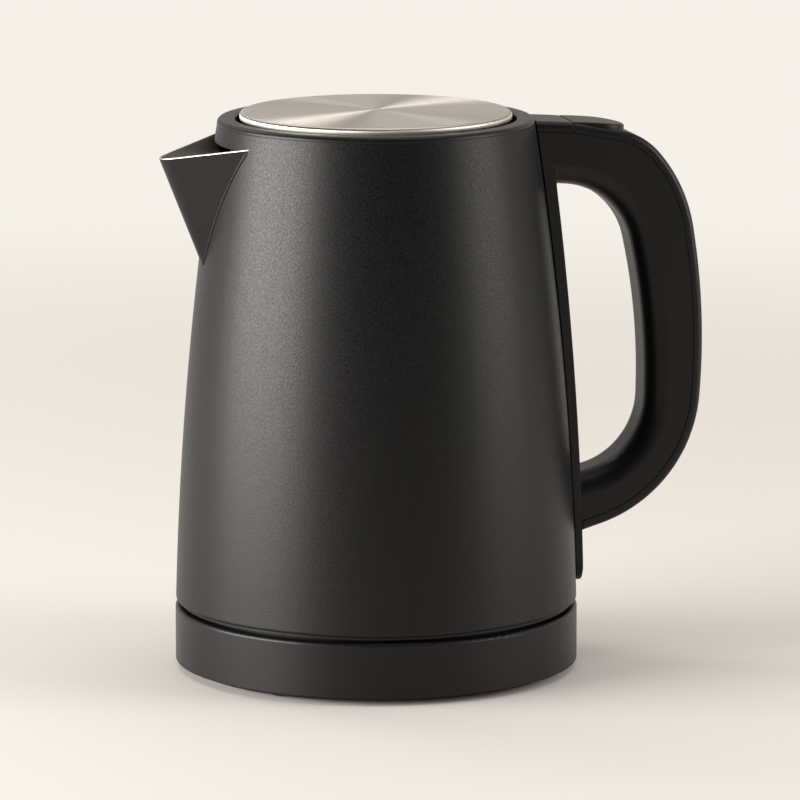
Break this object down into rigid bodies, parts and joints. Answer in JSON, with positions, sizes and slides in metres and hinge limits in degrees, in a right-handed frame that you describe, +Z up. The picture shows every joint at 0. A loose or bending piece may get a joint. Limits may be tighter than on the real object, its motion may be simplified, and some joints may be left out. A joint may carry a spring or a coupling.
{
  "type": "electric kettle",
  "caption": "Electric kettle with a tapered painted steel body, V spout, flush hinged steel lid with thumb release, D handle and a round power base that it lifts off.",
  "frame": {"origin": "on the kettle's axis, on the surface that the base stands on", "axes": "+Z up, +X towards the handle, spout towards -X"},
  "size_m": [0.2176, 0.1624, 0.2222],
  "materials": {
    "black_paint": "matte powder coat",
    "black_plastic": "satin moulded",
    "brushed_steel": "spun",
    "plain_steel": "bright",
    "aluminium": "cast",
    "brass": "stamped",
    "black_rubber": "matt",
    "pale_plastic": "moulded"
  },
  "bodies": {
    "base": {"base_housing": "black_plastic", "base_bottom_cover": "black_plastic", "base_feet": "black_rubber", "base_screws": "plain_steel", "base_connector": "black_plastic", "base_contacts": "brass", "cord_gland": "black_rubber"},
    "lid": {"lid_plate": "brushed_steel", "lid_moulding": "black_plastic", "lid_seal": "black_rubber", "lid_liner": "brushed_steel", "lid_screws": "plain_steel"},
    "button": {"release_button": "black_plastic"},
    "latch": {"latch_slider": "black_plastic", "latch_tongue": "plain_steel"},
    "switch": {"power_switch": "black_plastic"},
    "trip": {"trip_lever": "pale_plastic"},
    "kettle": {"body_shell": "black_paint", "spout": "black_paint", "spout_filter": "brushed_steel", "top_collar": "black_plastic", "lid_hinge_pins": "plain_steel", "lid_spring": "plain_steel", "heater_plate": "brushed_steel", "plate_seal": "black_rubber", "diffuser_plate": "aluminium", "heating_element": "aluminium", "control_unit": "pale_plastic", "bimetal_discs": "brass", "control_screws": "plain_steel", "kettle_connector": "black_plastic", "connector_pins": "brass", "bottom_cover": "black_plastic", "steam_tube": "plain_steel", "spine_plate": "black_plastic", "handle_shell": "black_plastic", "hinge_cover": "black_plastic", "handle_cover": "black_plastic", "handle_screws": "plain_steel", "button_pin": "plain_steel", "button_spring": "plain_steel", "latch_spring": "plain_steel", "switch_pin": "plain_steel", "trip_lever_pin": "plain_steel"}
  },
  "joints": [
    {"name": "kettle_lift", "type": "slide", "parent": "base", "child": "kettle", "axis": [0, 0, 1], "range_m": [0, 0.15]},
    {"name": "lid_hinge", "type": "hinge", "parent": "kettle", "child": "lid", "pos_m": [0.031, 0, 0.217], "axis": [0, 1, 0], "range_deg": [0, 55], "deforming": ["lid_spring", "latch_tongue"]},
    {"name": "button_press", "type": "hinge", "parent": "kettle", "child": "button", "pos_m": [0.0797, 0, 0.2098], "axis": [0, 1, 0], "range_deg": [0, 7], "stiffness_Nm_per_rad": 0.4, "springref_deg": -8.59, "deforming": ["button_spring"]},
    {"name": "latch_slide", "type": "slide", "parent": "kettle", "child": "latch", "axis": [1, 0, 0], "range_m": [0, 0.0022], "deforming": ["latch_spring"]},
    {"name": "switch_rock", "type": "hinge", "parent": "kettle", "child": "switch", "pos_m": [0.0767, 0, 0.0378], "axis": [0, -1, 0], "range_deg": [0, 10]},
    {"name": "trip_rock", "type": "hinge", "parent": "kettle", "child": "trip", "pos_m": [0.0407, 0, 0.0378], "axis": [0, 1, 0], "range_deg": [0, 10]}
  ],
  "couplings": [
    {"joint": "latch_slide", "follows": "button_press", "m_per_rad": 0.018},
    {"joint": "trip_rock", "follows": "switch_rock", "ratio": 1}
  ]
}
